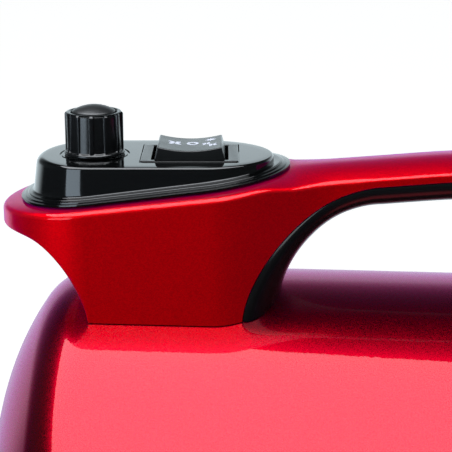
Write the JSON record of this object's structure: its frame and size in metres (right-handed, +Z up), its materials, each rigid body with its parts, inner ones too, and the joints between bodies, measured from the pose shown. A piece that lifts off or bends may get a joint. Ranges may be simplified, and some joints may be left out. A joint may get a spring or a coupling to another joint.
{
  "type": "canister blower",
  "caption": "Canister air blower with a top carrying handle, a control pod with airflow knob and rocker switch, and a motor fan, heater and rear filter inside.",
  "frame": {"origin": "bottom centre of the bounding box, on the surface the rubber feet stand on", "axes": "+X from the hose outlet to the air filter along the canister, +Y across it, +Z up"},
  "size_m": [0.416, 0.176, 0.245],
  "materials": {
    "red_enamel": "deep candy red enamel with fine metallic flake under a clear coat",
    "black_gloss": "high-gloss black moulding",
    "black_matte": "fine-textured black moulding",
    "black_rubber": "matt black rubber",
    "steel": "plated or turned steel",
    "aluminium": "cast or pressed aluminium",
    "copper": "enamelled copper",
    "brass": "satin brass",
    "switch_grey": "dark grey glossy actuator with pale printed symbols",
    "board_green": "green solder mask",
    "amber": "amber capacitor case",
    "foam": "open-cell grey foam",
    "carbon": "sintered carbon",
    "mica": "mica sheet",
    "ceramic_white": "unglazed ceramic"
  },
  "bodies": {
    "housing": {"canister_shell": "red_enamel", "handle_shell": "red_enamel", "handle_liner": "black_gloss", "handle_screw_front_left": "steel", "handle_screw_front_right": "steel", "handle_screw_rear": "steel", "wiring_grommet": "black_rubber", "control_pod": "black_gloss", "rocker_housing": "black_matte", "potentiometer_body": "steel", "potentiometer_nut": "steel", "control_board": "board_green", "heat_sink": "aluminium", "board_capacitor": "amber", "hose_collar": "black_matte", "collar_gasket": "black_rubber", "collar_nut": "black_matte", "rear_bezel": "black_matte", "cord_gland": "black_rubber", "filter_foam": "foam", "front_saddle": "black_matte", "rear_saddle": "black_matte", "rubber_foot_front_left": "black_rubber", "rubber_foot_front_right": "black_rubber", "rubber_foot_rear_left": "black_rubber", "rubber_foot_rear_right": "black_rubber", "saddle_bolt_front": "steel", "saddle_bolt_rear": "steel", "saddle_nut_front": "steel", "saddle_nut_rear": "steel", "fan_cover": "steel", "fan_base": "aluminium", "stage_diffuser": "aluminium", "motor_frame": "steel", "stator_core": "steel", "field_coil_upper": "copper", "field_coil_lower": "copper", "drive_bearing": "steel", "tail_bearing": "steel", "tail_bracket": "aluminium", "brush_yoke": "brass", "carbon_brush_left": "carbon", "carbon_brush_right": "carbon", "motor_ring_mount": "black_rubber", "tail_mount": "black_rubber", "inlet_bulkhead": "black_matte", "heater_frame": "mica", "heater_coil": "steel", "thermal_cutout": "ceramic_white"},
    "knob_assembly": {"knob": "black_gloss", "knob_cap": "black_gloss", "potentiometer_shaft": "aluminium"},
    "rocker": {"rocker_actuator": "switch_grey"},
    "rotor": {"rotor_shaft": "steel", "armature_core": "copper", "commutator": "copper", "impeller_first": "aluminium", "impeller_second": "aluminium", "shaft_nut": "steel"},
    "filter_lid": {"filter_cover": "black_matte"}
  },
  "joints": [
    {"name": "knob_turn", "type": "hinge", "parent": "housing", "child": "knob_assembly", "pos_m": [-0.1383, 0, 0.229], "axis": [0, 0, 1], "range_deg": [-280, 0]},
    {"name": "rocker_tilt", "type": "hinge", "parent": "housing", "child": "rocker", "pos_m": [-0.1075, 0, 0.226], "axis": [0, 1, 0], "range_deg": [-8, 8]},
    {"name": "rotor_spin", "type": "hinge", "parent": "housing", "child": "rotor", "pos_m": [0, 0, 0.098], "axis": [1, 0, 0], "continuous": true},
    {"name": "filter_pull", "type": "slide", "parent": "housing", "child": "filter_lid", "axis": [1, 0, 0], "range_m": [0, 0.03]}
  ]
}
